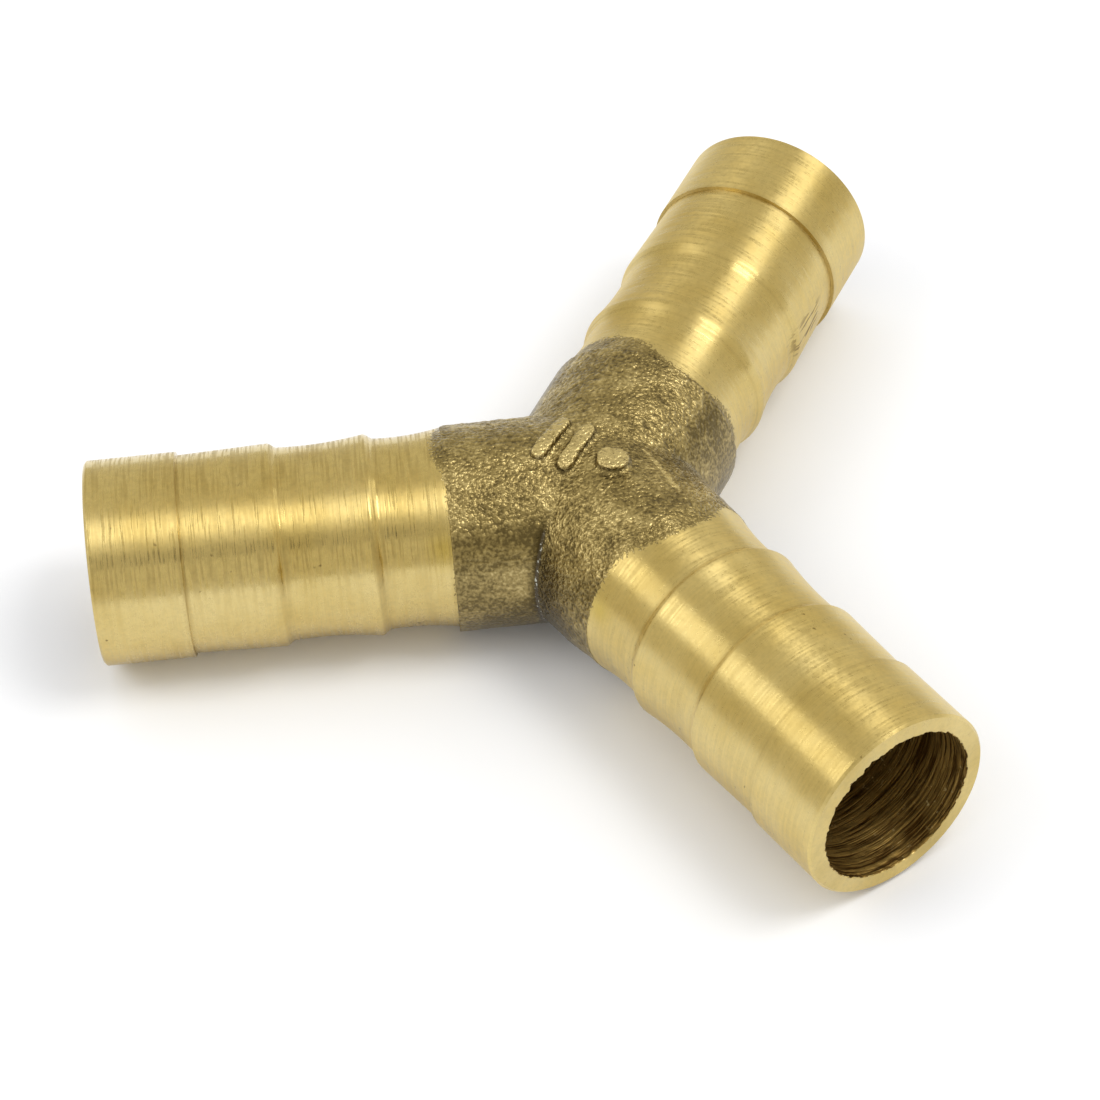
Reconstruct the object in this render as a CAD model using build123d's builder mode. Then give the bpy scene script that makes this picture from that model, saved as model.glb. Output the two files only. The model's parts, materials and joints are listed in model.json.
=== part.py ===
"""Brass Y hose connector with three barbed spigots for 12 mm bore hose.

The real connector is one cast brass body. Its hub keeps the cast skin, and its
three arms are turned to a barbed profile and drilled through to the centre. The
body is modelled as four solids that meet face to face at the shoulders where the
turning stops: the cast hub and the three turned spigots.

The origin is the point where the three turned axes meet. The arms lie in the XY plane,
120 degrees apart, and the raised foundry mark is on the +Z side.
"""

import os

from build123d import *

# Driving dimensions, in millimetres. Stations are measured along an arm from the origin.
HOSE_SIZE = 12.0  # the bore of the hose that fits, and the largest diameter of the barbs
BORE_DIAMETER = 9.8
CAST_DIAMETER = 12.06
CAST_DROP = 0.16  # the cast skin lies this much below the turned axes
ARM_LENGTH = 28.8  # to the mouth
SHOULDER_STATION = 8.1  # where the turning stops against the cast skin
SHOULDER_RADIUS = 5.85  # the turned neck where it meets the shoulder
MOUTH_CHAMFER = 0.15
CREASE_FILLET = 0.6  # the cast blend where two arms meet
ARM_ANGLES = {"inlet_spigot": 180.0, "outlet_spigot_left": 60.0, "outlet_spigot_right": -60.0}

# The three steps that face the hub, from the mouth inwards. A crest is the radius on
# the mouth side of a step, and a foot is the radius on the hub side. The outer step
# is square, and the other two slope over a short run.
OUTER_STEP = 23.5
OUTER_FOOT = 5.78
MIDDLE_STEP = 18.1
MIDDLE_CREST = 5.93
MIDDLE_FOOT = 5.64
MIDDLE_RUN = 0.45
INNER_STEP = 12.5
INNER_CREST = 5.89
INNER_FOOT = 5.58
INNER_RUN = 0.5
MIDDLE_WAIST = 5.6  # the hollow between the middle and inner steps, at its narrowest
INNER_WAIST = 5.55  # the hollow between the inner step and the shoulder

# The foundry mark: two raised bars and a round pip, in a row across the top of the hub.
MARK_RELIEF = 0.4  # how far the mark stands above the cast skin
MARK_CENTRE = (-0.42, -0.62)  # the middle of the bar that is nearer the pip
MARK_TURN = -35.0  # degrees from +X to the row
BAR_LENGTH = 3.6
BAR_WIDTH = 0.9
BAR_PITCH = 1.7
PIP_DIAMETER = 1.9
PIP_OFFSET = 2.4  # from the nearer bar to the pip


def arm_direction(angle):
    """The unit vector from the origin towards the mouth of the arm at this angle."""
    return Vector(1, 0, 0).rotate(Axis.Z, angle)


def axial_plane(angle):
    """A plane that holds the arm's axis as its x, with +Z as its y."""
    direction = arm_direction(angle)
    return Plane(origin=(0, 0, 0), x_dir=direction, z_dir=direction.cross(Vector(0, 0, 1)))


def cross_plane(angle, drop=0.0):
    """The plane that faces the mouth of the arm, through the origin or this far below it."""
    return Plane(origin=(0, 0, -drop), z_dir=arm_direction(angle))


def turned_spigot(name, angle):
    """One arm from the shoulder to the mouth: a revolved barbed profile around the bore."""
    barb_radius = HOSE_SIZE / 2
    bore_radius = BORE_DIAMETER / 2
    middle_foot = (MIDDLE_STEP - MIDDLE_RUN, MIDDLE_FOOT)
    middle_waist = (middle_foot[0] - (middle_foot[0] - INNER_STEP) / 4, MIDDLE_WAIST)
    inner_crest = (INNER_STEP, INNER_CREST)
    inner_foot = (INNER_STEP - INNER_RUN, INNER_FOOT)
    inner_waist = (inner_foot[0] - (inner_foot[0] - SHOULDER_STATION) / 3, INNER_WAIST)
    shoulder = (SHOULDER_STATION, SHOULDER_RADIUS)
    with BuildPart() as spigot:
        with BuildSketch(axial_plane(angle)):
            with BuildLine():
                Polyline(
                    shoulder,
                    (SHOULDER_STATION, bore_radius),
                    (ARM_LENGTH, bore_radius),
                    (ARM_LENGTH, barb_radius - MOUTH_CHAMFER),
                    (ARM_LENGTH - MOUTH_CHAMFER, barb_radius),
                    (OUTER_STEP, barb_radius),
                    (OUTER_STEP, OUTER_FOOT),
                    (MIDDLE_STEP, MIDDLE_CREST),
                    middle_foot,
                )
                ThreePointArc(middle_foot, middle_waist, inner_crest)
                Line(inner_crest, inner_foot)
                ThreePointArc(inner_foot, inner_waist, shoulder)
            make_face()
        revolve(axis=Axis((0, 0, 0), arm_direction(angle)))
    spigot.part.label = name
    return spigot.part


# The foundry mark is a prism that follows the skin of the hub at a constant height.
with BuildPart() as raised_skin:
    for arm_angle in ARM_ANGLES.values():
        with BuildSketch(cross_plane(arm_angle, CAST_DROP)):
            Circle(CAST_DIAMETER / 2 + MARK_RELIEF)
        extrude(amount=SHOULDER_STATION)

with BuildPart() as foundry_mark:
    with BuildSketch():
        with Locations(Location((*MARK_CENTRE, 0), (0, 0, MARK_TURN))):
            with Locations((-BAR_PITCH, 0), (0, 0)):
                SlotOverall(BAR_LENGTH, BAR_WIDTH, rotation=90)
            with Locations((PIP_OFFSET, 0)):
                Circle(PIP_DIAMETER / 2)
    extrude(amount=CAST_DIAMETER)
    add(raised_skin.part, mode=Mode.INTERSECT)

with BuildPart() as cast_hub:
    for arm_angle in ARM_ANGLES.values():
        with BuildSketch(cross_plane(arm_angle, CAST_DROP)):
            Circle(CAST_DIAMETER / 2)
        extrude(amount=SHOULDER_STATION)
    fillet(cast_hub.edges().filter_by(GeomType.ELLIPSE), radius=CREASE_FILLET)
    add(foundry_mark.part)
    for arm_angle in ARM_ANGLES.values():
        with BuildSketch(cross_plane(arm_angle)):
            Circle(BORE_DIAMETER / 2)
        extrude(amount=SHOULDER_STATION, mode=Mode.SUBTRACT)
cast_hub.part.label = "cast_hub"

os.makedirs("parts", exist_ok=True)
export_step(cast_hub.part, "parts/cast_hub.step")
for spigot_name, spigot_angle in ARM_ANGLES.items():
    export_step(turned_spigot(spigot_name, spigot_angle), f"parts/{spigot_name}.step")
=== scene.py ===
"""A brass Y hose connector: a sand-cast hub with three lathe-turned, barbed spigots.

It lies flat on a pale floor. The real one is a single casting, so the two kinds of
surface are what sets its pieces apart: the hub keeps the rough brown skin that the
mould gave it, and the spigots are bright where the lathe has cut that skin away.
"""

import json
import math

import bpy
import numpy as np
from bpy.props import FloatProperty, FloatVectorProperty, IntProperty, PointerProperty
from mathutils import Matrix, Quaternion, Vector

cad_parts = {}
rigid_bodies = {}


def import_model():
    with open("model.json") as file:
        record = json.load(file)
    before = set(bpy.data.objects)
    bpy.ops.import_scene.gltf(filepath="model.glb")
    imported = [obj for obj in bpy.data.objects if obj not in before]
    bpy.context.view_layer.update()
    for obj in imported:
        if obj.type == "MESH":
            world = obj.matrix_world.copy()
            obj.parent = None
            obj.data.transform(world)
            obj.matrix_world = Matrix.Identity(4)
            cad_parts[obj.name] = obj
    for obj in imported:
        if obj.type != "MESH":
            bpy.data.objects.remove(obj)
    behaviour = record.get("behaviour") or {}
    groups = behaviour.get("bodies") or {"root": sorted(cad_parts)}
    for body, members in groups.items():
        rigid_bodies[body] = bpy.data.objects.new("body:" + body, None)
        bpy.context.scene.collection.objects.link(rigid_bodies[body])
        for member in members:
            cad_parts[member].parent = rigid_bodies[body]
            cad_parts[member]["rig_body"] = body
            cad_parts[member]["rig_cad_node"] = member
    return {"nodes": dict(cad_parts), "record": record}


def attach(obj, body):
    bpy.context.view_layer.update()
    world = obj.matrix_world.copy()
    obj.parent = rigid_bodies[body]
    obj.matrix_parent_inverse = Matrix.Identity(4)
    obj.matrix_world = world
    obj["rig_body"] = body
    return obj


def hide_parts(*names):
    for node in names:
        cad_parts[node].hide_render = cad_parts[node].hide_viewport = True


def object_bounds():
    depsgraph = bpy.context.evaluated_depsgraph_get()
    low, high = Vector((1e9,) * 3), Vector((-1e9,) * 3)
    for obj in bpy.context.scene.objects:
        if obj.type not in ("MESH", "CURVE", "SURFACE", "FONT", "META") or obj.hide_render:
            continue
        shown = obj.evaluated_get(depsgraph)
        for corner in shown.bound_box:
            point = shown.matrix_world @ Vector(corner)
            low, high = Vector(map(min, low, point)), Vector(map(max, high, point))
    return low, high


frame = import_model()
cad_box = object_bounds()

bl_info = {
    "name": "Brass Y hose connector",
    "version": (1, 0, 0),
    "blender": (4, 5, 0),
    "location": "View3D > Sidebar > Y connector",
    "description": "Builds the cast hub, the turned spigots and a plain studio around them",
    "category": "Object",
}

MM = 0.001
MOUNTS = {mount["name"]: mount for mount in frame["record"]["mounts"]}
# Each spigot, and the name that its two mounts start with.
SPIGOTS = {
    "inlet_spigot": "inlet",
    "outlet_spigot_left": "outlet_left",
    "outlet_spigot_right": "outlet_right",
}
BORE = MOUNTS["inlet_bore"]["dims"]["r_mm"] * MM
BARB = MOUNTS["inlet_hose_seat"]["dims"]["r_mm"] * MM
MOUTH = MOUNTS["inlet_bore"]["dims"]["length_mm"] * MM
FLOOR = cad_box[0].z
WELD = 0.001 * MM  # points closer than this are one point


def from_hex(code):
    """The linear red, green and blue of an sRGB colour such as "#C8A050"."""
    channels = [int(code[i : i + 2], 16) / 255 for i in (1, 3, 5)]
    return tuple(c / 12.92 if c <= 0.04045 else ((c + 0.055) / 1.055) ** 2.4 for c in channels)


def length(name, description, default, precision=3):
    """A size property, in metres."""
    return FloatProperty(
        name=name, description=description, default=default, unit="LENGTH", precision=precision
    )


def colour(name, description, code):
    """A colour property, from its sRGB hex value."""
    return FloatVectorProperty(
        name=name, description=description, default=from_hex(code), subtype="COLOR", min=0, max=1
    )


class SpigotSizes(bpy.types.PropertyGroup):
    """The barbed profile. Stations are measured from the centre of the hub along the arm."""

    segments: IntProperty(name="Segments", description="Faces around a spigot", default=256)
    shoulder: length("Shoulder", "Where the turning stops against the cast skin", 8.1 * MM)
    neck: length("Neck radius", "The turned neck at the shoulder", 5.85 * MM)
    outer_step: length("Outer step", "Station of the square step behind the mouth", 23.5 * MM)
    outer_foot: length("Outer foot", "Radius on the hub side of the outer step", 5.78 * MM)
    middle_step: length("Middle step", "Station of the middle step", 18.1 * MM)
    middle_crest: length("Middle crest", "Radius on the mouth side of the middle step", 5.93 * MM)
    middle_foot: length("Middle foot", "Radius on the hub side of the middle step", 5.64 * MM)
    middle_run: length("Middle run", "How far the middle step slopes", 0.45 * MM)
    middle_waist: length("Middle waist", "Narrowest radius behind the middle step", 5.6 * MM)
    inner_step: length("Inner step", "Station of the inner step", 12.5 * MM)
    inner_crest: length("Inner crest", "Radius on the mouth side of the inner step", 5.89 * MM)
    inner_foot: length("Inner foot", "Radius on the hub side of the inner step", 5.58 * MM)
    inner_run: length("Inner run", "How far the inner step slopes", 0.5 * MM)
    inner_waist: length("Inner waist", "Narrowest radius of the neck", 5.55 * MM)
    brow: length("Brow", "How far the crests of the two soft steps are rounded over", 0.12 * MM)
    chamfer: length("Mouth chamfer", "The broken edge around the mouth", 0.15 * MM)
    burr: length("Burr", "How ragged the drill left the edge of the bore", 0.26 * MM)


class CastSizes(bpy.types.PropertyGroup):
    """The cast skin of the hub."""

    radius: length("Cast radius", "Radius of the cast arms", 6.03 * MM)
    drop: length("Drop", "How far the cast skin lies below the turned axes", 0.16 * MM)
    voxel: length("Voxel", "Size of the mesh that carries the cast grain", 0.142 * MM)
    wave: length("Wave", "Width of the slow unevenness of the skin", 1.6 * MM)
    wave_height: length("Wave height", "Depth of the slow unevenness", 0.1 * MM)
    grain: length("Grain", "Width of the sand grains pressed into the skin", 0.34 * MM)
    grain_height: length("Grain height", "Depth of the sand grains", 0.17 * MM)


class Finishes(bpy.types.PropertyGroup):
    """Colours of the brass in its different states, and of the painted shade and painted glints."""

    turned: colour("Turned brass", "Fresh metal under the lathe tool", "#DDC889")
    turned_deep: colour("Turned brass, deep", "The same metal where it has dulled", "#CFB66E")
    stain: colour("Coolant stain", "Dried cutting fluid beside the hub", "#C4A93A")
    skin: colour("Cast skin", "Oxide left by the mould", "#9C8A5A")
    # Also the colour of the painted shade in the creases and at the foot of the mark.
    skin_dark: colour("Cast skin, dark", "Sand and soot in the hollows", "#362B15")
    # Painted glints: light specks painted into the painted shade of the crease.
    painted_glint: colour("Glint", "Specks of grit in the soot that catch the light", "#D2D4C8")
    # Partly real wear and partly painted glints: the crests of the grain, the top of the mark and
    # the scratch are painted this light colour, and so are the painted glints in the bores.
    crest: colour("Rubbed skin", "High spots of the casting rubbed back to metal", "#E6D298")
    bore: colour("Bored brass", "Dull metal inside the bores", "#B89854")
    # Also used for the painted shade in the corners of the steps.
    bore_deep: colour("Bored brass, deep", "The floors of the torn rings", "#5C4016")


class StageSettings(bpy.types.PropertyGroup):
    """The floor, the lamps and the camera."""

    floor: colour("Floor", "Pale matt floor", "#F4F4F4")
    room: colour("Room", "The warm walls that the metal mirrors", "#DFD9C3")
    daylight: colour("Daylight", "The neutral light that falls on matt things", "#F2F3F5")
    lamp_power: FloatProperty(
        name="Lamp power", description="Power of the right soft box", default=0.72, unit="POWER"
    )
    lamp_size: length("Lamp size", "Side of each soft box", 0.22)
    card: length("Card", "Side of the dark card behind the camera, which the metal mirrors", 0.1)
    lens: FloatProperty(name="Lens", description="Focal length", default=136.5, unit="CAMERA")
    distance: length("Distance", "From the camera to the point it looks at", 0.2415)
    azimuth: FloatProperty(
        name="Azimuth",
        description="Around the object, from -Y",
        default=math.radians(-2.19),
        subtype="ANGLE",
    )
    elevation: FloatProperty(
        name="Elevation",
        description="Above the floor",
        default=math.radians(45.07),
        subtype="ANGLE",
    )
    roll: FloatProperty(
        name="Roll", description="Tilt of the picture", default=math.radians(4.37), subtype="ANGLE"
    )


# Mesh tools


def deselect():
    """Leaves edit mode with nothing selected."""
    if bpy.context.object and bpy.context.object.mode != "OBJECT":
        bpy.ops.object.mode_set(mode="OBJECT")
    bpy.ops.object.select_all(action="DESELECT")


def choose(*objects):
    """Selects these objects, and makes the first one active."""
    deselect()
    for item in objects:
        item.select_set(True)
    bpy.context.view_layer.objects.active = objects[0]


def points(mesh):
    """The mesh's vertices as rows of x, y, z."""
    flat = np.empty(len(mesh.vertices) * 3)
    mesh.vertices.foreach_get("co", flat)
    return flat.reshape(-1, 3)


def centres(mesh):
    """The middles of the mesh's faces as rows of x, y, z."""
    flat = np.empty(len(mesh.polygons) * 3)
    mesh.polygons.foreach_get("center", flat)
    return flat.reshape(-1, 3)


def write_values(mesh, name, values):
    """Stores one number or one vector on each vertex, for the materials to read."""
    kind, field = ("FLOAT", "value") if values.ndim == 1 else ("FLOAT_VECTOR", "vector")
    mesh.attributes.new(name, kind, "POINT").data.foreach_set(field, values.ravel())


def group_of(piece, name, weights):
    """A vertex group with these weights, kept where they aren't zero."""
    group = piece.vertex_groups.new(name=name)
    levels = np.round(weights * 16).astype(int)
    for level in range(1, 17):
        group.add(np.nonzero(levels == level)[0].tolist(), level / 16, "REPLACE")
    return name


def apply_modifiers(piece):
    """Applies every modifier of the piece, in order."""
    choose(piece)
    for modifier in list(piece.modifiers):
        bpy.ops.object.modifier_apply(modifier=modifier.name)


def roughen(piece, name, basis, width, height, group, depth=1):
    """Pushes the surface in and out along its normals by a noise of this width and height."""
    noise = bpy.data.textures.new(name, "CLOUDS")
    noise.noise_basis = basis
    noise.noise_scale = width
    noise.noise_depth = depth
    push = piece.modifiers.new(name, "DISPLACE")
    push.texture = noise
    push.texture_coords = "LOCAL"
    push.strength = height
    push.vertex_group = group


def set_faces(mesh, chosen):
    """Gives the chosen faces the piece's second material."""
    mesh.polygons.foreach_set("material_index", chosen.astype(np.int32))


def shade_smooth(mesh):
    """Smooth shading all over."""
    mesh.polygons.foreach_set("use_smooth", np.ones(len(mesh.polygons), bool))


# Arms


def heading(spigot):
    """The unit vector from the hub to the mouth of a spigot."""
    return Vector(MOUNTS[SPIGOTS[spigot] + "_hose_seat"]["axis"])


def along_arms(place):
    """Each point seen from its own arm: its station, how far it is to the side, and its height."""
    headings = np.array([heading(spigot)[:2] for spigot in SPIGOTS])
    nearest = headings[(place[:, :2] @ headings.T).argmax(1)]
    station = (place[:, :2] * nearest).sum(1)
    side = place[:, 1] * nearest[:, 0] - place[:, 0] * nearest[:, 1]
    return np.column_stack([station, side, place[:, 2]])


# Materials


def add_node(tree, kind, inputs=None, **settings):
    """Adds a shader node with its settings, and its inputs as values or as links."""
    made = tree.nodes.new("ShaderNode" + kind)
    for name, value in settings.items():
        setattr(made, name, value)
    for socket, value in (inputs or {}).items():
        if isinstance(value, bpy.types.NodeSocket):
            tree.links.new(value, made.inputs[socket])
        else:
            made.inputs[socket].default_value = value
    return made


def rgba(value):
    """A colour property as four numbers."""
    return (*value, 1)


def new_material(name):
    """An empty node material, its tree and its surface shader."""
    material = bpy.data.materials.new(name)
    material.use_nodes = True
    tree = material.node_tree
    tree.nodes.clear()
    shader = add_node(tree, "BsdfPrincipled")
    add_node(tree, "OutputMaterial", {"Surface": shader.outputs[0]})
    return material, tree, shader


def cast_skin_look(tree, finishes):
    """Sand-cast skin: lumpy brown oxide, black in the hollows and rubbed to metal on the crests,
    which also carry painted glints. The creases are painted dark, as painted shade, with painted
    glints in them.

    Returns the sockets of its colour, roughness and height.
    """
    place = add_node(tree, "TexCoord").outputs["Object"]
    grain = add_node(
        tree, "TexNoise", {"Vector": place, "Scale": 1 / (0.19 * MM), "Detail": 1, "Roughness": 0.5}
    ).outputs["Fac"]
    patches = add_node(
        tree, "TexNoise", {"Vector": place, "Scale": 1 / (1.8 * MM), "Detail": 2, "Roughness": 0.6}
    ).outputs["Fac"]
    crest = add_node(tree, "Attribute", attribute_name="crest").outputs["Fac"]
    crease_shade = add_node(tree, "Attribute", attribute_name="crease_shade").outputs["Fac"]
    uneven = add_node(
        tree,
        "MapRange",
        {"Value": patches, "From Min": 0.35, "From Max": 0.65, "To Min": -0.12, "To Max": 0.12},
    ).outputs[0]
    high = add_node(
        tree, "Math", {0: crest, 1: 0.42, 2: grain}, operation="MULTIPLY_ADD"
    ).outputs[0]
    level = add_node(tree, "Math", {0: high, 1: uneven}, operation="ADD").outputs[0]
    hollow = add_node(
        tree, "MapRange", {"Value": level, "From Min": 0.52, "From Max": 0.2, "To Max": 0.65}
    ).outputs[0]
    brown = add_node(
        tree,
        "Mix",
        {0: hollow, 6: rgba(finishes.skin), 7: rgba(finishes.skin_dark)},
        data_type="RGBA",
    ).outputs[2]
    # The highest grain is painted light, partly as wear and partly as painted glints.
    rubbed = add_node(
        tree, "MapRange", {"Value": level, "From Min": 0.54, "From Max": 0.9, "To Max": 0.7}
    ).outputs[0]
    worn = add_node(
        tree, "Mix", {0: rubbed, 6: brown, 7: rgba(finishes.crest)}, data_type="RGBA"
    ).outputs[2]
    # Painted glints: light specks where the painted crease shade is thickest.
    glint_spots = add_node(
        tree, "MapRange", {"Value": grain, "From Min": 0.58, "From Max": 0.65, "To Max": 0.8}
    ).outputs[0]
    thick = add_node(
        tree, "MapRange", {"Value": crease_shade, "From Min": 0.76, "From Max": 0.9}
    ).outputs[0]
    painted_glints = add_node(tree, "Math", {0: glint_spots, 1: thick}, operation="MULTIPLY").outputs[0]
    soot_and_shade = add_node(
        tree,
        "Mix",
        {0: painted_glints, 6: rgba(finishes.skin_dark), 7: rgba(finishes.painted_glint)},
        data_type="RGBA",
    ).outputs[2]
    # Painted shade: the creases and the foot of the mark are painted with the dark colour.
    tint = add_node(tree, "Mix", {0: crease_shade, 6: worn, 7: soot_and_shade}, data_type="RGBA").outputs[2]
    dry = add_node(tree, "MapRange", {"Value": rubbed, "To Min": 0.32, "To Max": 0.24}).outputs[0]
    rough = add_node(tree, "Mix", {0: crease_shade, 2: dry, 3: 0.12}).outputs[0]
    return tint, rough, grain


def make_cast_skin(finishes):
    """Sand-cast brass with its mould skin: brown, dull in the hollows, glinting on the grains.

    The crease is painted dark, as painted shade, and is glossy there, and isn't metal.
    """
    material, tree, shader = new_material("sand_cast_brass_skin")
    tint, rough, height = cast_skin_look(tree, finishes)
    soot_and_shade = add_node(tree, "Attribute", attribute_name="crease_shade").outputs["Fac"]
    metallic = add_node(
        tree,
        "MapRange",
        {"Value": soot_and_shade, "From Min": 0.76, "From Max": 0.9, "To Min": 0.95, "To Max": 0.3},
    ).outputs[0]
    coarse = add_node(tree, "Attribute", attribute_name="coarse").outputs["Fac"]
    bump = add_node(tree, "Bump", {"Height": height, "Distance": 0.12 * MM, "Strength": coarse})
    tree.links.new(metallic, shader.inputs["Metallic"])
    tree.links.new(tint, shader.inputs["Base Color"])
    tree.links.new(rough, shader.inputs["Roughness"])
    tree.links.new(bump.outputs[0], shader.inputs["Normal"])
    return material


def turned_tint(tree, finishes, place, lines, mottle):
    """The colour of turned metal: clouded, streaked, stained, dark in pits, and painted with shade
    in the corners of the steps.
    """
    clouds = add_node(
        tree, "TexNoise", {"Vector": place, "Scale": 1 / (5 * MM), "Detail": 3, "Roughness": 0.6}
    ).outputs["Fac"]
    dull = add_node(
        tree, "MapRange", {"Value": clouds, "From Min": 0.38, "From Max": 0.66, "To Max": 0.7}
    ).outputs[0]
    metal = add_node(
        tree,
        "Mix",
        {0: dull, 6: rgba(finishes.turned), 7: rgba(finishes.turned_deep)},
        data_type="RGBA",
    ).outputs[2]
    streaks = add_node(
        tree,
        "MapRange",
        {"Value": lines, "From Min": 0.4, "From Max": 0.6, "To Min": 0.94, "To Max": 1.05},
    ).outputs[0]
    freckles = add_node(
        tree,
        "MapRange",
        {"Value": mottle, "From Min": 0.3, "From Max": 0.6, "To Min": 0.88, "To Max": 1.02},
    ).outputs[0]
    shade = add_node(tree, "Math", {0: streaks, 1: freckles}, operation="MULTIPLY").outputs[0]
    streaked = add_node(tree, "VectorMath", {0: metal, 3: shade}, operation="SCALE").outputs[0]
    stain = add_node(tree, "Attribute", attribute_name="stain").outputs["Fac"]
    stained = add_node(
        tree, "Mix", {0: stain, 6: streaked, 7: rgba(finishes.stain)}, data_type="RGBA"
    ).outputs[2]

    pit_noise = add_node(
        tree, "TexNoise", {"Vector": place, "Scale": 1 / (0.5 * MM), "Detail": 1, "Roughness": 0.4}
    ).outputs["Fac"]
    pits = add_node(
        tree, "MapRange", {"Value": pit_noise, "From Min": 0.78, "From Max": 0.84, "To Max": 0.7}
    ).outputs[0]
    cut_scale = (1 / (1.3 * MM), 1 / (0.2 * MM), 1 / (0.2 * MM))
    cut_place = add_node(tree, "Mapping", {"Vector": place, "Scale": cut_scale}).outputs[0]
    cut_noise = add_node(
        tree, "TexNoise", {"Vector": cut_place, "Scale": 1, "Detail": 1, "Roughness": 0.4}
    ).outputs["Fac"]
    cuts = add_node(
        tree, "MapRange", {"Value": cut_noise, "From Min": 0.53, "From Max": 0.6, "To Max": 0.85}
    ).outputs[0]
    scuffed = add_node(tree, "Attribute", attribute_name="scuffed").outputs["Fac"]
    scuffs = add_node(tree, "Math", {0: cuts, 1: scuffed}, operation="MULTIPLY").outputs[0]
    # Painted shade in the corners of the steps, in the deep colour.
    corner = add_node(tree, "Attribute", attribute_name="dull").outputs["Fac"]
    painted_corner_shade = add_node(tree, "Math", {0: corner, 1: 0.42}, operation="MULTIPLY").outputs[0]
    marks = add_node(tree, "Math", {0: pits, 1: scuffs}, operation="MAXIMUM").outputs[0]
    spots = add_node(tree, "Math", {0: marks, 1: painted_corner_shade}, operation="MAXIMUM").outputs[0]
    return add_node(
        tree, "Mix", {0: spots, 6: stained, 7: rgba(finishes.bore_deep)}, data_type="RGBA"
    ).outputs[2]


def make_turned_brass(finishes):
    """Lathe-turned brass: bright, with feed lines around it that smear gloss along the arm.

    The real feed lines are about 0.05 mm apart, too fine to show, so they are drawn three
    times as coarse. They are deepest where the attribute "feed" says so, and cast skin
    covers the metal where "skin_reach" is above zero.
    """
    material, tree, shader = new_material("lathe_turned_brass")
    place = add_node(tree, "Attribute", attribute_name="arm_place").outputs["Vector"]
    line_scale = (1 / (0.15 * MM), 1 / (4 * MM), 1 / (4 * MM))
    band_scale = (1 / (0.7 * MM), 1 / (9 * MM), 1 / (9 * MM))
    line_place = add_node(tree, "Mapping", {"Vector": place, "Scale": line_scale}).outputs[0]
    band_place = add_node(tree, "Mapping", {"Vector": place, "Scale": band_scale}).outputs[0]
    lines = add_node(
        tree, "TexNoise", {"Vector": line_place, "Scale": 1, "Detail": 2, "Roughness": 0.6}
    ).outputs["Fac"]
    bands = add_node(
        tree, "TexNoise", {"Vector": band_place, "Scale": 1, "Detail": 2, "Roughness": 0.6}
    ).outputs["Fac"]
    mottle = add_node(
        tree, "TexNoise", {"Vector": place, "Scale": 1 / (0.35 * MM), "Detail": 3, "Roughness": 0.7}
    ).outputs["Fac"]

    skin_tint, skin_rough, skin_height = cast_skin_look(tree, finishes)
    reach = add_node(tree, "Attribute", attribute_name="skin_reach").outputs["Fac"]
    ragged = add_node(tree, "Math", {0: skin_height, 1: 0.5}, operation="SUBTRACT").outputs[0]
    edge = add_node(
        tree, "Math", {0: ragged, 1: 1.3 * MM, 2: reach}, operation="MULTIPLY_ADD"
    ).outputs[0]
    covered = add_node(
        tree, "MapRange", {"Value": edge, "From Min": -0.02 * MM, "From Max": 0.02 * MM}
    ).outputs[0]
    bare_tint = turned_tint(tree, finishes, place, lines, mottle)
    tint = add_node(
        tree, "Mix", {0: covered, 6: bare_tint, 7: skin_tint}, data_type="RGBA"
    ).outputs[2]

    feed = add_node(tree, "Attribute", attribute_name="feed").outputs["Fac"]
    blotchy = add_node(
        tree,
        "MapRange",
        {"Value": mottle, "From Min": 0.35, "From Max": 0.68, "To Min": 0.28, "To Max": 0.44},
    ).outputs[0]
    ridged = add_node(
        tree,
        "MapRange",
        {"Value": lines, "From Min": 0.42, "From Max": 0.58, "To Min": 0.19, "To Max": 0.58},
    ).outputs[0]
    gloss = add_node(tree, "Mix", {0: feed, 2: blotchy, 3: ridged}).outputs[0]
    rough = add_node(tree, "Mix", {0: covered, 2: gloss, 3: skin_rough}).outputs[0]

    smooth = add_node(tree, "Math", {0: 1.0, 1: feed}, operation="SUBTRACT").outputs[0]
    relief = add_node(tree, "Math", {0: skin_height, 1: covered}, operation="MULTIPLY").outputs[0]
    normal = None
    for height, depth, strength in (
        (mottle, 0.01 * MM, smooth),
        (lines, 0.022 * MM, feed),
        (bands, 0.02 * MM, 1.0),
        (relief, 0.12 * MM, 1.0),
    ):
        inputs = {"Height": height, "Distance": depth, "Strength": strength}
        if normal is not None:
            inputs["Normal"] = normal
        normal = add_node(tree, "Bump", inputs).outputs[0]
    grain_way = add_node(tree, "Tangent", direction_type="UV_MAP", uv_map="turning")
    shader.inputs["Metallic"].default_value = 1.0
    shader.inputs["Anisotropic"].default_value = 0.93
    tree.links.new(tint, shader.inputs["Base Color"])
    tree.links.new(rough, shader.inputs["Roughness"])
    tree.links.new(normal, shader.inputs["Normal"])
    tree.links.new(grain_way.outputs[0], shader.inputs["Tangent"])
    return material


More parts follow.
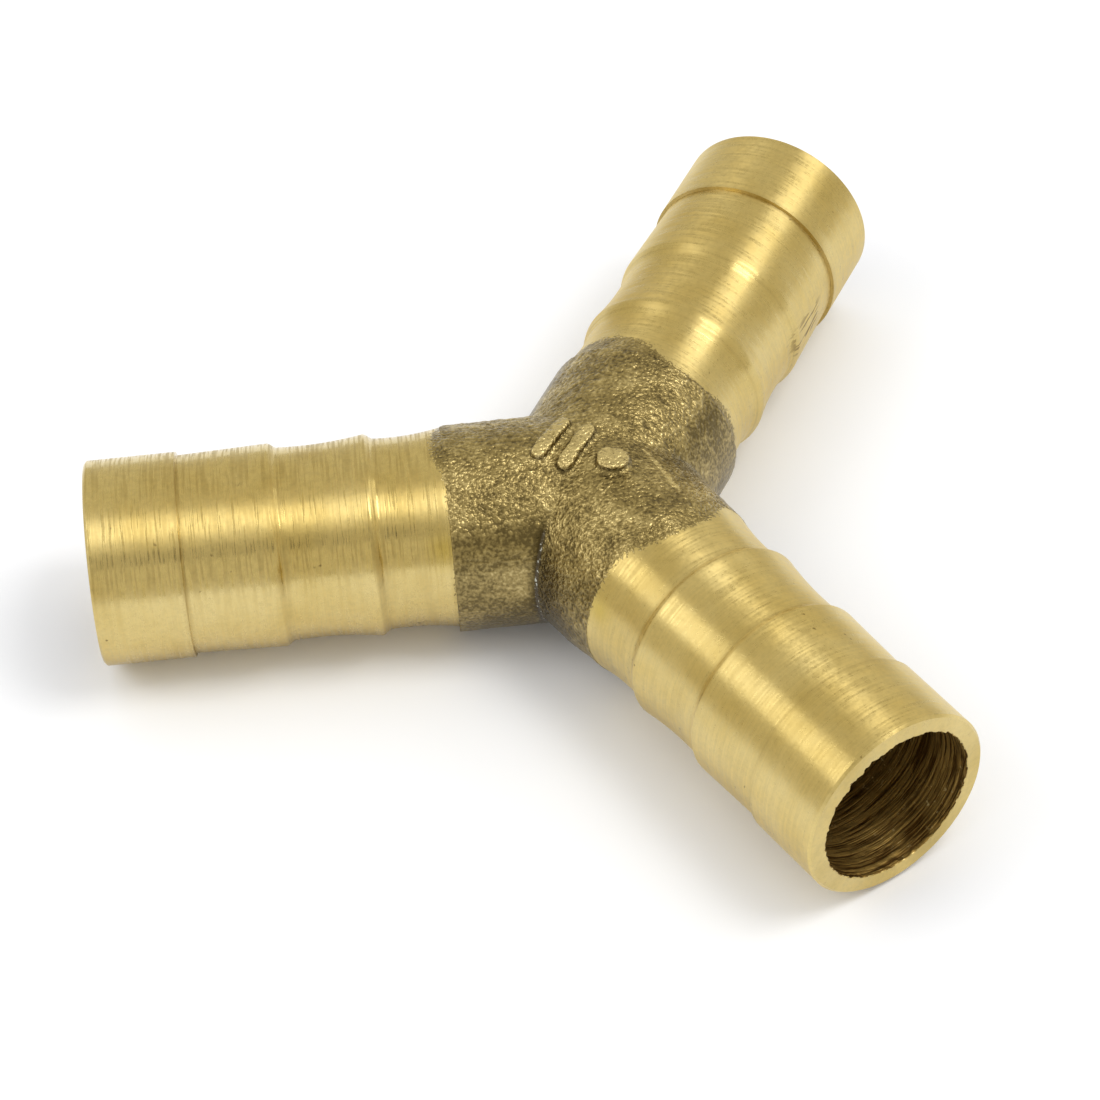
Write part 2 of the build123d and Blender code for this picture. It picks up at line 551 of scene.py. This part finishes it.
def make_bored_brass(finishes):
    """Rough-drilled brass: brown and dull, with torn rings where the drill chattered. Soft pools of
    painted light lie on it, with painted glints in them.
    """
    material, tree, shader = new_material("drilled_brass_bore")
    place = add_node(tree, "Attribute", attribute_name="arm_place").outputs["Vector"]
    ring_scale = (1 / (0.2 * MM), 1 / (4.5 * MM), 1 / (4.5 * MM))
    ring_place = add_node(tree, "Mapping", {"Vector": place, "Scale": ring_scale}).outputs[0]
    rings = add_node(
        tree, "TexNoise", {"Vector": ring_place, "Scale": 1, "Detail": 3, "Roughness": 0.65}
    ).outputs["Fac"]
    flecks = add_node(
        tree, "TexNoise", {"Vector": place, "Scale": 1 / (0.3 * MM), "Detail": 2, "Roughness": 0.6}
    ).outputs["Fac"]
    clouds = add_node(
        tree, "TexNoise", {"Vector": place, "Scale": 1 / (3 * MM), "Detail": 1, "Roughness": 0.5}
    ).outputs["Fac"]
    # A soft pool of painted light: inside it the ring floors are painted less dark.
    patch = add_node(
        tree, "MapRange", {"Value": clouds, "From Min": 0.48, "From Max": 0.62}
    ).outputs[0]
    glint_flecks = add_node(
        tree, "MapRange", {"Value": flecks, "From Min": 0.62, "From Max": 0.72}
    ).outputs[0]
    # Painted glints: light flecks only inside the pool of painted light.
    bright = add_node(tree, "Math", {0: glint_flecks, 1: patch}, operation="MULTIPLY").outputs[0]
    floors = add_node(
        tree, "MapRange", {"Value": rings, "From Min": 0.58, "From Max": 0.42}
    ).outputs[0]
    outside_light_pool = add_node(tree, "MapRange", {"Value": patch, "To Min": 1.0, "To Max": 0.55}).outputs[0]
    deep = add_node(tree, "Math", {0: floors, 1: outside_light_pool}, operation="MULTIPLY").outputs[0]
    brown = add_node(
        tree,
        "Mix",
        {0: deep, 6: rgba(finishes.bore), 7: rgba(finishes.bore_deep)},
        data_type="RGBA",
    ).outputs[2]
    tint = add_node(
        tree, "Mix", {0: bright, 6: brown, 7: rgba(finishes.crest)}, data_type="RGBA"
    ).outputs[2]
    bump = add_node(tree, "Bump", {"Height": rings, "Distance": 0.09 * MM, "Strength": 1.0})
    shader.inputs["Metallic"].default_value = 0.85
    shader.inputs["Roughness"].default_value = 0.5
    tree.links.new(tint, shader.inputs["Base Color"])
    tree.links.new(bump.outputs[0], shader.inputs["Normal"])
    return material


def make_floor_paint(stage):
    """Matt white board."""
    material, _, shader = new_material("matt_white_board")
    shader.inputs["Base Color"].default_value = rgba(stage.floor)
    shader.inputs["Roughness"].default_value = 0.9
    shader.inputs["Specular IOR Level"].default_value = 0.1
    return material


def make_card_paint():
    """Dull brown card."""
    material, _, shader = new_material("dull_brown_card")
    shader.inputs["Base Color"].default_value = rgba(from_hex("#26221E"))
    shader.inputs["Roughness"].default_value = 0.9
    return material


# Pieces


class CONNECTOR_OT_hub(bpy.types.Operator):
    """Make the cast hub, with sand grain pressed into its skin"""

    bl_idname = "connector.hub"
    bl_label = "Cast hub"

    SEAT = 8.0 * MM  # the skin is left smooth from this station, where the spigots sit
    RELIEF = 0.4 * MM  # how far the mark stands above the skin
    # The station where the right-hand outlet's skin starts to come flush with its neck, and
    # the length over which it does.
    GRAZED = (5.2 * MM, 2.4 * MM)
    PARTING = (0.75 * MM, 1.1 * MM)  # the height of the trimmed band, and half its width
    SCRATCH = ((3.4 * MM, -0.5 * MM), (5.1 * MM, -4.6 * MM))  # its ends, as x and y
    SCRATCH_WIDTH = 0.1 * MM
    FINE_FROM = 45  # degrees from the top of an arm to where its grain starts to get finer
    CREASE_LINE = 0.28 * MM  # half the width of the line of painted shade in a crease
    SPREAD = 2.5 * MM  # half the width of the painted shade on both sides of the front crease

    def execute(self, context):
        sizes = context.scene.connector_cast
        finishes = context.scene.connector_finishes
        piece = self.rough_out(context, sizes)
        local = along_arms(points(piece.data))
        radius = np.hypot(local[:, 1], local[:, 2] + sizes.drop)
        on_skin = (radius > BORE + 0.5 * MM) & (local[:, 0] < self.SEAT)
        before = self.flush(points(piece.data), local, context.scene.connector_spigot.neck)
        piece.data.vertices.foreach_set("co", before.ravel())
        parting = self.parting(before)
        coarse = self.coarse(before, local) * (1 - 0.5 * parting)
        group_of(piece, "skin", on_skin * coarse)
        normals = np.empty(len(before) * 3)
        piece.data.vertices.foreach_get("normal", normals)
        roughen(piece, "wave", "IMPROVED_PERLIN", sizes.wave, sizes.wave_height, "skin", depth=2)
        roughen(piece, "grain", "IMPROVED_PERLIN", sizes.grain, sizes.grain_height, "skin")
        apply_modifiers(piece)

        # The walls of the mark are painted dark, as painted shade at its foot, and its top is
        # rubbed like the crests of the grain.
        pushed = ((points(piece.data) - before) * normals.reshape(-1, 3)).sum(1)
        raised = np.clip((radius - sizes.radius) / self.RELIEF, 0, 1) * on_skin
        walls = np.clip(1 - np.abs(raised - 0.4) / 0.35, 0, 1)
        rubbed = 0.75 * np.clip(raised * 4 - 3, 0, 1) + self.scratch(before)
        # Painted shade: the skin is painted darker on the sides of the arms, where the grain gets
        # finer, but not in the trimmed band, which is painted lighter as a painted reflection of
        # the floor. The crest attribute below carries this painted shade.
        shade = 0.75 * (1 - coarse) * (1 - parting) + 0.1 * parting
        write_values(piece.data, "crest", pushed / (0.12 * MM) + rubbed - shade)
        write_values(piece.data, "coarse", coarse)
        write_values(piece.data, "arm_place", local)
        # This holds the painted shade of the creases and of the foot of the mark.
        write_values(piece.data, "crease_shade", np.maximum(0.75 * walls, self.crease_shade(before, local)))
        inside = along_arms(centres(piece.data))
        set_faces(piece.data, np.hypot(inside[:, 1], inside[:, 2]) < BORE + 0.25 * MM)
        piece.vertex_groups.clear()
        piece.data.materials.clear()
        piece.data.materials.append(make_cast_skin(finishes))
        piece.data.materials.append(make_bored_brass(finishes))
        shade_smooth(piece.data)
        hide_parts("cast_hub")
        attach(piece, "root")
        return {"FINISHED"}

    @staticmethod
    def rough_out(context, sizes):
        """The plain hub, as a copy of the frame's with an even mesh."""
        piece = frame["nodes"]["cast_hub"].copy()
        piece.data = piece.data.copy()
        piece.name = piece.data.name = "cast_hub_skin"
        piece.parent = None
        context.scene.collection.objects.link(piece)
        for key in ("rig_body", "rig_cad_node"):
            del piece[key]
        choose(piece)
        bpy.ops.object.mode_set(mode="EDIT")
        bpy.ops.mesh.select_all(action="SELECT")
        bpy.ops.mesh.remove_doubles(threshold=WELD)
        deselect()
        remesh = piece.modifiers.new("voxels", "REMESH")
        remesh.mode = "VOXEL"
        remesh.voxel_size = sizes.voxel
        apply_modifiers(piece)
        return piece

    def flush(self, place, local, neck):
        """Brings the right-hand outlet's skin flush with its neck, where the lathe grazed it."""
        radius = np.hypot(local[:, 1], local[:, 2])
        facing = place[:, :2] @ np.array(heading("outlet_spigot_right")[:2])
        own = np.abs(facing - local[:, 0]) < WELD
        start, taper = self.GRAZED
        near = np.clip((local[:, 0] - start) / taper, 0, 1) * own
        excess = np.maximum(radius - neck, 0) * near
        way = np.array(heading("outlet_spigot_right"))
        outward = (place - facing[:, None] * way) / np.maximum(radius, MM)[:, None]
        return place - excess[:, None] * outward

    def coarse(self, place, local):
        """How coarse the grain is: full on top and on the right-hand outlet, less on the sides."""
        turn = np.degrees(np.abs(np.arctan2(local[:, 1], local[:, 2])))
        fine = np.clip((turn - self.FINE_FROM) / 12, 0, 1)
        facing = place[:, :2] @ np.array(heading("outlet_spigot_right")[:2])
        return 1 - np.where(facing > local[:, 0] - WELD, 0.25, 0.65) * fine

    def parting(self, place):
        """The smoother band where the flash was trimmed, all round but for the front. There the
        painted shade of the sides is lifted, as a painted reflection of the floor.
        """
        middle, half = self.PARTING
        trimmed = (place[:, 1] > -2.5 * MM) | (place[:, 0] < -4 * MM)
        return np.exp(-(((place[:, 2] - middle) / half) ** 8)) * trimmed

    def crease_shade(self, place, local):
        """Painted shade where two arms meet, most of all between the inlet and the right-hand
        outlet, where it also spreads low on both sides of that crease.
        """
        off_crotch = np.abs(local[:, 0] * math.sin(math.radians(60)) - np.abs(local[:, 1]) * 0.5)
        near = np.exp(-((off_crotch / self.CREASE_LINE) ** 2))
        low = np.clip((4.4 * MM - place[:, 2]) / (0.9 * MM), 0, 1)
        on_front = place[:, 0] > place[:, 1] * math.tan(math.radians(30))
        spread = 0.6 * np.exp(-((off_crotch / self.SPREAD) ** 4)) * on_front
        spread *= np.clip((3.4 * MM - place[:, 2]) / (1.6 * MM), 0, 1)
        front = np.maximum(0.95 * near * low, spread)
        return np.where(place[:, 1] < -3 * MM, front, 0.35 * near * low)

    def scratch(self, place):
        """A fine bright scratch beside the mark."""
        start, end = np.array(self.SCRATCH)
        span = np.linalg.norm(end - start)
        way = (end - start) / span
        off = place[:, :2] - start
        along = off @ way
        across = off[:, 0] * way[1] - off[:, 1] * way[0]
        within = (along > 0) & (along < span) & (place[:, 2] > 0)
        return 1.7 * np.exp(-((across / self.SCRATCH_WIDTH) ** 2)) * within


class CONNECTOR_OT_spigots(bpy.types.Operator):
    """Turn the three barbed spigots and bore them out"""

    bl_idname = "connector.spigots"
    bl_label = "Turned spigots"

    # For each spigot: which way the bore wanders off centre, and where the coolant dried on
    # its neck. Both are angles around the arm from the top, in degrees.
    WANDER = {"inlet_spigot": 60, "outlet_spigot_left": -100, "outlet_spigot_right": 135}
    STAIN = {"inlet_spigot": 58, "outlet_spigot_left": 150, "outlet_spigot_right": -66}
    # Where a spigot was knocked: the station, the angle around the arm in degrees, and the spread.
    SCUFFS = {
        "outlet_spigot_left": (19.4 * MM, -90, 2.0 * MM),
        "outlet_spigot_right": (23.6 * MM, 78, 0.5 * MM),
    }
    # How much longer than usual the slopes of each spigot's two soft steps are.
    EASE = {"inlet_spigot": 1.0, "outlet_spigot_left": 2.0, "outlet_spigot_right": 1.0}
    # How deep the feed lines of each spigot are. They are worn to half down its sides.
    FEED = {"inlet_spigot": 0.9, "outlet_spigot_left": 0.42, "outlet_spigot_right": 0.3}
    OFF_CENTRE = 0.09 * MM  # how far the bores wander
    TEARS = 0.45 * MM  # width of the tears in the edge of the mouth
    NICKS = 0.25 * MM  # width of the smaller nicks in them
    CHATTER = (0.5 * MM, 0.1 * MM)  # width and depth of what the drill left on the wall
    CRISP = math.radians(32)  # corners sharper than this keep their edge
    TEAR_TURN = math.radians(97)  # turns the tears of each bore away from those of the last
    STREAK_SHIFT = 40 * MM  # moves the streaks of each spigot away from those of the last
    # Where the lathe left skin on the neck: the angle around the arm and half the width of
    # each tongue, in degrees, and how far it reaches past the shoulder.
    TONGUES = {
        "inlet_spigot": ((-12, 22, 0.75 * MM), (150, 30, 0.4 * MM)),
        "outlet_spigot_left": ((32, 45, 1.35 * MM), (-75, 24, 0.65 * MM)),
        "outlet_spigot_right": ((5, 32, 1.2 * MM), (-160, 25, 0.5 * MM)),
    }

    def execute(self, context):
        sizes = context.scene.connector_spigot
        finishes = context.scene.connector_finishes
        turned = make_turned_brass(finishes)
        bored = make_bored_brass(finishes)
        for seed, spigot in enumerate(SPIGOTS):
            piece = self.turn(sizes, self.EASE[spigot])
            piece.name = piece.data.name = spigot + "_turned"
            self.finish_arm(context, piece, spigot, seed)
            piece.data.materials.append(turned)
            piece.data.materials.append(bored)
            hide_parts(spigot)
            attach(piece, "root")
        return {"FINISHED"}

    @staticmethod
    def profile(sizes, ease):
        """The section of the wall: from the hub out along the barbs, and back down the bore.

        The slopes of the two soft steps are ease times as long as their runs.
        """

        def run(start, end, waist=None, gap=0.3 * MM):
            """Points from start, which is left out, to end, straight or through the waist."""
            count = max(1, round(abs(end[0] - start[0]) / gap))
            stations = np.linspace(start[0], end[0], count + 1)[1:]
            knots = [start, waist, end] if waist else [start, end]
            curve = np.polyfit([k[0] for k in knots], [k[1] for k in knots], len(knots) - 1)
            return [(s, np.polyval(curve, s)) for s in stations]

        def slope(foot, crest):
            """Points from a foot up to its crest, in an S that is steeper near the crest."""
            shares = np.linspace(0, 1, 15)[1:]
            going, rise = crest[0] - foot[0], crest[1] - foot[1]
            return [
                (foot[0] + going * share, foot[1] + rise * math.sin(share * math.pi / 2) ** 1.8)
                for share in shares
            ]

        back = sizes.shoulder - 0.1 * MM
        neck = (back, sizes.neck)
        inner_foot = (sizes.inner_step - sizes.inner_run * ease, sizes.inner_foot)
        inner_waist = (inner_foot[0] - (inner_foot[0] - sizes.shoulder) / 3, sizes.inner_waist)
        inner_crest = (sizes.inner_step + sizes.brow, sizes.inner_crest)
        middle_foot = (sizes.middle_step - sizes.middle_run * ease, sizes.middle_foot)
        hollow = middle_foot[0] - (middle_foot[0] - sizes.inner_step) / 4
        middle_waist = (hollow, sizes.middle_waist)
        middle_crest = (sizes.middle_step + sizes.brow, sizes.middle_crest)
        outer_foot = (sizes.outer_step, sizes.outer_foot)
        mouth = (MOUTH - sizes.chamfer, BARB)
        rim = BARB - sizes.chamfer
        outline = [(back, BORE), (back, (BORE + sizes.neck) / 2), neck]
        outline += run(neck, inner_foot, inner_waist, 0.15 * MM)
        outline += slope(inner_foot, inner_crest)
        outline += run(inner_crest, middle_foot, middle_waist, 0.2 * MM)
        outline += slope(middle_foot, middle_crest)
        outline += run(middle_crest, outer_foot)
        outline += [(sizes.outer_step, (sizes.outer_foot + BARB) / 2), (sizes.outer_step, BARB)]
        outline += run((sizes.outer_step, BARB), mouth)
        outline += [(MOUTH, rim)]
        outline += [(MOUTH, rim + (BORE - rim) * share) for share in (0.3, 0.55, 0.75, 0.88, 0.96)]
        outline += [(MOUTH - 0.04 * MM, BORE)]
        outline += run(outline[-1], (MOUTH - 2 * MM, BORE), gap=0.1 * MM)
        outline += run((MOUTH - 2 * MM, BORE), (back, BORE), gap=0.22 * MM)
        return outline[:-1]

    def turn(self, sizes, ease):
        """One plain spigot along +X: its section drawn point by point, then spun round the axis."""
        outline = self.profile(sizes, ease)
        deselect()
        bpy.ops.mesh.primitive_plane_add(size=MM)
        piece = bpy.context.object
        bpy.ops.object.mode_set(mode="EDIT")
        bpy.ops.mesh.select_all(action="SELECT")
        bpy.ops.mesh.merge(type="CENTER")
        bpy.ops.transform.translate(value=(outline[0][0], 0, outline[0][1]))
        for here, there in zip(outline, outline[1:]):
            step = (there[0] - here[0], 0, there[1] - here[1])
            bpy.ops.mesh.extrude_vertices_move(TRANSFORM_OT_translate={"value": step})
        bpy.ops.mesh.select_all(action="SELECT")
        bpy.ops.mesh.edge_face_add()
        bpy.ops.mesh.delete(type="ONLY_FACE")
        bpy.ops.mesh.select_all(action="SELECT")
        bpy.ops.mesh.spin(steps=sizes.segments, angle=math.tau, center=(0, 0, 0), axis=(1, 0, 0))
        bpy.ops.mesh.select_all(action="SELECT")
        bpy.ops.mesh.remove_doubles(threshold=WELD)
        bpy.ops.mesh.normals_make_consistent(inside=False)
        deselect()
        return piece

    def finish_arm(self, context, piece, spigot, seed):
        """Wanders and tears the bore, marks the metal, then turns the arm to its place."""
        sizes = context.scene.connector_spigot
        self.tear_bore(piece, spigot, seed, sizes)
        self.mark_metal(piece, spigot, seed, sizes)
        way = heading(spigot)
        piece.rotation_euler.z = math.atan2(way.y, way.x)
        choose(piece)
        bpy.ops.object.transform_apply(location=False, rotation=True, scale=False)

    def tear_bore(self, piece, spigot, seed, sizes):
        """Moves the bore a little off centre, and roughens its wall and the edge of its mouth."""
        local = points(piece.data)
        radius = np.hypot(local[:, 1], local[:, 2])
        in_bore = np.clip((BORE + 0.12 * MM - radius) / (0.1 * MM), 0, 1)
        drift = math.radians(self.WANDER[spigot])
        off_centre = self.OFF_CENTRE * np.array([0, math.sin(drift), math.cos(drift)])
        piece.data.vertices.foreach_set("co", (local + in_bore[:, None] * off_centre).ravel())
        edge = in_bore * np.clip((local[:, 0] - (MOUTH - 0.5 * MM)) / (0.4 * MM), 0, 1)
        group_of(piece, "edge", edge)
        group_of(piece, "wall", in_bore * (1 - edge))
        piece.rotation_euler.x = self.TEAR_TURN * seed
        choose(piece)
        bpy.ops.object.transform_apply(location=False, rotation=True, scale=False)
        roughen(piece, "torn_edge", "VORONOI_F1", self.TEARS, sizes.burr, "edge")
        roughen(piece, "nicks", "IMPROVED_PERLIN", self.NICKS, 0.6 * sizes.burr, "edge")
        roughen(piece, "chatter", "IMPROVED_PERLIN", *self.CHATTER, "wall")
        apply_modifiers(piece)
        piece.rotation_euler.x = -self.TEAR_TURN * seed
        bpy.ops.object.transform_apply(location=False, rotation=True, scale=False)
        piece.vertex_groups.clear()

    def mark_metal(self, piece, spigot, seed, sizes):
        """Writes what the materials read, gives the bore its own one, and sets the shading."""
        local = points(piece.data)
        angle = np.arctan2(local[:, 1], local[:, 2])
        reach = self.reach(local, angle, sizes, self.TONGUES[spigot])
        worn = np.clip((np.abs(np.degrees(angle)) - 60) / 12, 0, 1)
        write_values(piece.data, "arm_place", local + np.array([0, 0, self.STREAK_SHIFT * seed]))
        write_values(piece.data, "skin_reach", reach)
        write_values(piece.data, "crest", 0.1 * np.sin(23 * angle + seed))
        # No painted crease shade on the spigots.
        write_values(piece.data, "crease_shade", np.zeros(len(local)))
        # The dull attribute holds the painted shade in the corners of the steps.
        write_values(piece.data, "dull", self.corners(local, sizes))
        write_values(piece.data, "feed", self.FEED[spigot] * (1 - 0.5 * worn))
        write_values(piece.data, "stain", self.stain(local, angle, spigot, sizes))
        write_values(piece.data, "scuffed", self.scuffs(local, angle, spigot))
        self.unwrap(piece.data, local, angle)
        middles = centres(piece.data)
        inside = np.hypot(middles[:, 1], middles[:, 2]) < BORE + 0.2 * MM
        set_faces(piece.data, inside & (middles[:, 0] < MOUTH - 0.02 * MM))
        shade_smooth(piece.data)
        choose(piece)
        bpy.ops.object.shade_smooth_by_angle(angle=self.CRISP)

    @staticmethod
    def reach(local, angle, sizes, tongues):
        """How far inside the edge of the cast skin a point lies."""
        edge = sizes.shoulder - 0.1 * MM + 0.06 * MM * np.sin(5 * angle)
        for middle, half, out in tongues:
            off = angle - math.radians(middle)
            off = np.arctan2(np.sin(off), np.cos(off)) / math.radians(half)
            edge = edge + out * np.exp(-(off**4))
        return edge - local[:, 0]

    @staticmethod
    def corners(local, sizes):
        """Painted shade in the corner of the square step, and a trace at the feet of the two soft
        ones.
        """
        outer = np.abs(local[:, 0] - sizes.outer_step + 0.05 * MM) < 0.06 * MM
        middle = np.abs(local[:, 0] - sizes.middle_step + sizes.middle_run) < 0.08 * MM
        inner = np.abs(local[:, 0] - sizes.inner_step + sizes.inner_run) < 0.08 * MM
        return 0.28 * outer + 0.2 * (middle | inner)

    def scuffs(self, local, angle, spigot):
        """Where the spigot was knocked and marked."""
        if spigot not in self.SCUFFS:
            return np.zeros(len(local))
        station, turn, spread = self.SCUFFS[spigot]
        off = angle - math.radians(turn)
        around = np.arctan2(np.sin(off), np.cos(off)) * BARB
        along = local[:, 0] - station
        return np.exp(-((around / (0.55 * spread)) ** 4) - (along / spread) ** 4)

    def stain(self, local, angle, spigot, sizes):
        """A patch of dried coolant beside the hub."""
        off = angle - math.radians(self.STAIN[spigot])
        around = np.arctan2(np.sin(off), np.cos(off)) * BARB
        along = local[:, 0] - sizes.shoulder - 0.5 * MM
        return 0.45 * np.exp(-((around / (0.9 * MM)) ** 2) - (along / (0.8 * MM)) ** 2)

    @staticmethod
    def unwrap(mesh, local, angle):
        """A UV map with u along the section of the wall, which gives the gloss its direction."""
        corners = np.empty(len(mesh.loops), np.int32)
        mesh.loops.foreach_get("vertex_index", corners)
        turn = angle[corners] / math.tau + 0.5
        starts = np.empty(len(mesh.polygons), np.int32)
        mesh.polygons.foreach_get("loop_start", starts)
        totals = np.empty(len(mesh.polygons), np.int32)
        mesh.polygons.foreach_get("loop_total", totals)
        first = np.repeat(turn[starts], totals)
        turn += np.round(first - turn)
        section = local[:, 0] + BARB - np.hypot(local[:, 1], local[:, 2])
        uv = np.column_stack([section[corners] / MOUTH, turn])
        mesh.uv_layers.new(name="turning").data.foreach_set("uv", uv.astype(np.float32).ravel())


class CONNECTOR_OT_stage(bpy.types.Operator):
    """Make the floor, the soft boxes, the room light and the camera"""

    bl_idname = "connector.stage"
    bl_label = "Studio"

    # The way from the object to each soft box, its share of the lamp power, and of the size.
    LAMPS = {
        "left_soft_box": ((-0.68, -0.13, 0.73), 0.5, 1.0),
        "right_soft_box": ((0.45, -0.14, 0.83), 0.88, 0.85),
        "far_soft_box": ((0.73, 0.30, 0.61), 0.1, 0.75),
    }

    FLOOR_SIZE = 4
    LAMP_DISTANCE = 0.45
    CARD_DISTANCE = 0.36
    AIM = (-2.45 * MM, -2.75 * MM, 0)  # the point that the camera looks at

    def execute(self, context):
        stage = context.scene.connector_stage
        deselect()
        bpy.ops.mesh.primitive_plane_add(size=self.FLOOR_SIZE, location=(0, 0, FLOOR))
        floor = bpy.context.object
        floor.name = floor.data.name = "floor"
        bpy.ops.object.transform_apply()
        floor.data.materials.append(make_floor_paint(stage))
        for name, (way, share, breadth) in self.LAMPS.items():
            place = Vector(way).normalized() * self.LAMP_DISTANCE
            bpy.ops.object.light_add(type="AREA", location=place)
            lamp = bpy.context.object
            lamp.name = name
            lamp.rotation_euler = place.to_track_quat("Z", "Y").to_euler()
            lamp.data.energy = stage.lamp_power * share
            lamp.data.size = stage.lamp_size * breadth
        self.light_room(context.scene, stage)
        self.place_camera(context.scene, stage)
        context.scene.view_settings.view_transform = "Standard"
        return {"FINISHED"}

    @staticmethod
    def light_room(scene, stage):
        """A room that looks warm in the metal, and sheds neutral light on the floor."""
        scene.world = bpy.data.worlds.new("room")
        scene.world.use_nodes = True
        tree = scene.world.node_tree
        on_matt = add_node(tree, "LightPath").outputs["Is Diffuse Ray"]
        light = add_node(
            tree,
            "Mix",
            {0: on_matt, 6: rgba(stage.room), 7: rgba(stage.daylight)},
            data_type="RGBA",
        ).outputs[2]
        tree.links.new(light, tree.nodes["Background"].inputs["Color"])

    def place_camera(self, scene, stage):
        """Looks down at the object from its front, with a dark card behind the camera."""
        level = math.cos(stage.elevation)
        back = Vector(
            (
                math.sin(stage.azimuth) * level,
                -math.cos(stage.azimuth) * level,
                math.sin(stage.elevation),
            )
        )
        bpy.ops.object.camera_add(location=Vector(self.AIM) + back * stage.distance)
        camera = bpy.context.object
        camera.name = "camera"
        camera.rotation_mode = "QUATERNION"
        upright = (-back).to_track_quat("-Z", "Y")
        camera.rotation_quaternion = upright @ Quaternion((0, 0, 1), -stage.roll)
        camera.data.lens = stage.lens
        camera.data.clip_start = 0.01
        scene.camera = camera
        bpy.ops.mesh.primitive_plane_add(size=stage.card, location=back * self.CARD_DISTANCE)
        card = bpy.context.object
        card.name = card.data.name = "dark_card"
        card.rotation_euler = back.to_track_quat("Z", "Y").to_euler()
        bpy.ops.object.transform_apply()
        card.data.materials.append(make_card_paint())


class CONNECTOR_PT_panel(bpy.types.Panel):
    """Sizes, finishes and the steps that build the connector"""

    bl_idname = "CONNECTOR_PT_panel"
    bl_label = "Y connector"
    bl_space_type = "VIEW_3D"
    bl_region_type = "UI"
    bl_category = "Y connector"

    def draw(self, context):
        scene = context.scene
        for settings, step in (
            (scene.connector_cast, "connector.hub"),
            (scene.connector_spigot, "connector.spigots"),
            (scene.connector_finishes, None),
            (scene.connector_stage, "connector.stage"),
        ):
            box = self.layout.box()
            for name in settings.__annotations__:
                box.prop(settings, name)
            if step:
                box.operator(step)


CLASSES = (
    SpigotSizes,
    CastSizes,
    Finishes,
    StageSettings,
    CONNECTOR_OT_hub,
    CONNECTOR_OT_spigots,
    CONNECTOR_OT_stage,
    CONNECTOR_PT_panel,
)


def register():
    """Adds the classes, and their settings to the scene."""
    for item in CLASSES:
        bpy.utils.register_class(item)
    bpy.types.Scene.connector_spigot = PointerProperty(type=SpigotSizes)
    bpy.types.Scene.connector_cast = PointerProperty(type=CastSizes)
    bpy.types.Scene.connector_finishes = PointerProperty(type=Finishes)
    bpy.types.Scene.connector_stage = PointerProperty(type=StageSettings)


def unregister():
    """Takes away what register added."""
    for name in ("connector_stage", "connector_finishes", "connector_cast", "connector_spigot"):
        delattr(bpy.types.Scene, name)
    for item in reversed(CLASSES):
        bpy.utils.unregister_class(item)


def main():
    """Builds everything."""
    register()
    bpy.ops.connector.hub()
    bpy.ops.connector.spigots()
    bpy.ops.connector.stage()


if __name__ == "__main__":
    main()
